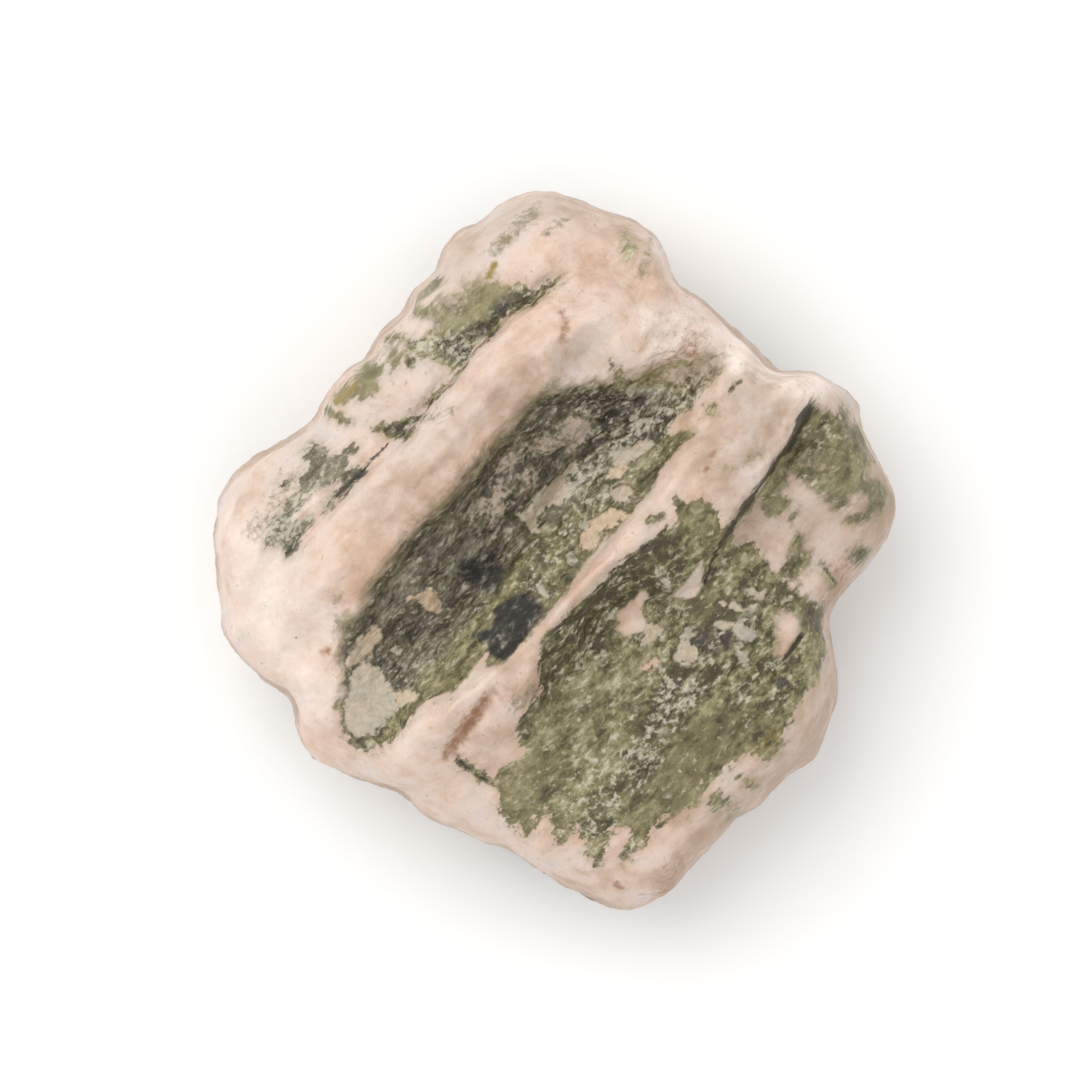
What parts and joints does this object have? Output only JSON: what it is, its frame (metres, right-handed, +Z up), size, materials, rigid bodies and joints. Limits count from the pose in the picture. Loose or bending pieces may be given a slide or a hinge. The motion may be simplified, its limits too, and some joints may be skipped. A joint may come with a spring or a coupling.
{
  "type": "rough green tourmaline in feldspar",
  "caption": "Hand-sized rough stone of pink feldspar with blades of green tourmaline, a long trough and ledges along the grain, lying on a flat broken face.",
  "frame": {"origin": "on the plane of the resting face, under the middle of the plan", "axes": "+Z up from the resting face, +X and +Y to the right and to the top of the stone seen from above; the tourmaline's grain lies in the plan at 47 degrees from +X towards +Y"},
  "size_m": [0.0488, 0.0514, 0.024],
  "materials": {
    "stone": "broken stone, waxy pink feldspar with dull to glittering green tourmaline"
  },
  "bodies": {
    "root": {"stone": "stone"}
  },
  "joints": []
}
